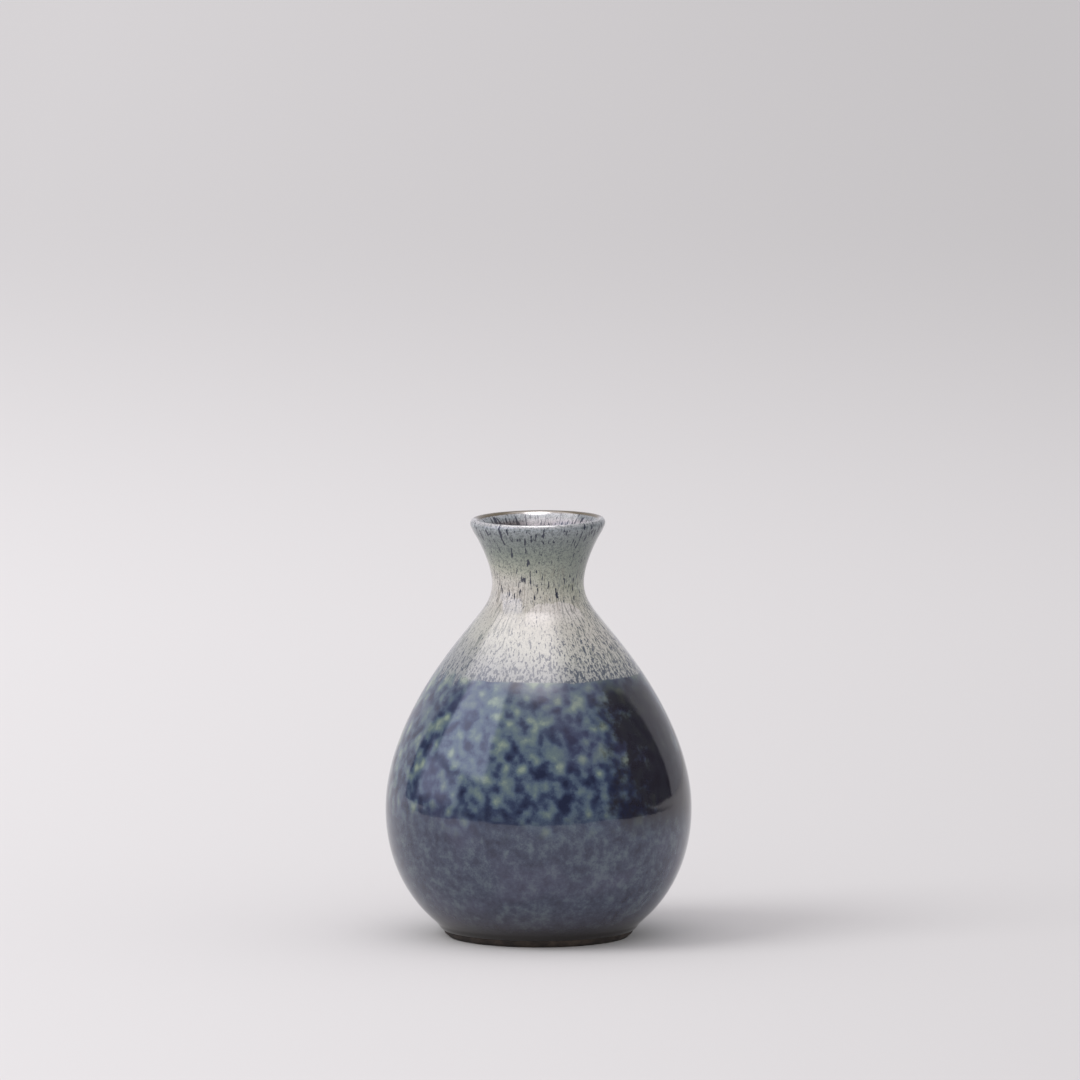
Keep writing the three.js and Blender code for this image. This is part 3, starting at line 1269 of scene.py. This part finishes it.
        backdrop = self.backdrop_right.over(self.backdrop, x.rise(0.1, 0.7))
        bright = nodes.mix(panel, backdrop, lit)
        glow = elevation.rise(34.0, 60.0) * azimuth.rise(-100.0, -20.0) * 0.15
        dark = nodes.mix(glow, self.dark_room, lit)
        front = nodes.mix(window, dark, self.window)
        facing = (x * 0.4 - y * 0.9).rise(-0.7, 0.8) * 0.55 + 0.35
        low_fill = nodes.mix(elevation.rise(48.0, 5.0) * facing, self.soft_fill, self.low_fill)
        around = nodes.mix(panel, low_fill, lit)
        room = nodes.mix(mirrored, around, nodes.mix(opening, bright, front))
        colour = nodes.mix(Value(nodes, path["Is Camera Ray"]), room, self.seen)
        background = nodes.add("ShaderNodeBackground", {}, {"Color": colour, "Strength": 1.0})
        nodes.add("ShaderNodeOutputWorld", {}, {"Surface": background.outputs[0]})


# ---- Assembly --------------------


def dress(pieces: dict[str, Object], bottle: Bottle) -> None:
    """Gives every piece its finish, and logs the slot that it stands for.

    Args:
        pieces: the pieces by CAD node.
        bottle: the bottle that they belong to.
    """
    glaze = RunGlaze(line_mm=bottle.shoulder_line / MM, lip_mm=cad_box[1][2] / MM)
    finishes = {
        "clay_body": (Slot.CLAY, BareClay().material()),
        "blue_glaze": (Slot.BLUE, glaze.material("blue_glaze")),
        "cream_glaze": (Slot.CREAM, glaze.material("cream_glaze")),
        "inner_glaze": (Slot.LINER, LinerGlaze().material()),
        "well_glaze": (Slot.BLUE, glaze.material("well_glaze")),
    }
    for node, piece in pieces.items():
        slot, material = finishes[node]
        piece.data.materials.append(material)
        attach(piece, "root")
        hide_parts(node)
        log.info("%s: %d faces, slot %s", piece.name, len(piece.data.polygons), slot.value)


def main() -> None:
    """Builds the bottle and the studio."""
    logging.basicConfig(level=logging.INFO, format="%(name)s: %(message)s")
    Studio().build()
    bottle = Bottle()
    pieces = bottle.build()
    warp = Warp()
    for piece in pieces.values():
        warp.apply(piece)
    warp.remove()
    dress(pieces, bottle)


if __name__ == "__main__":
    main()
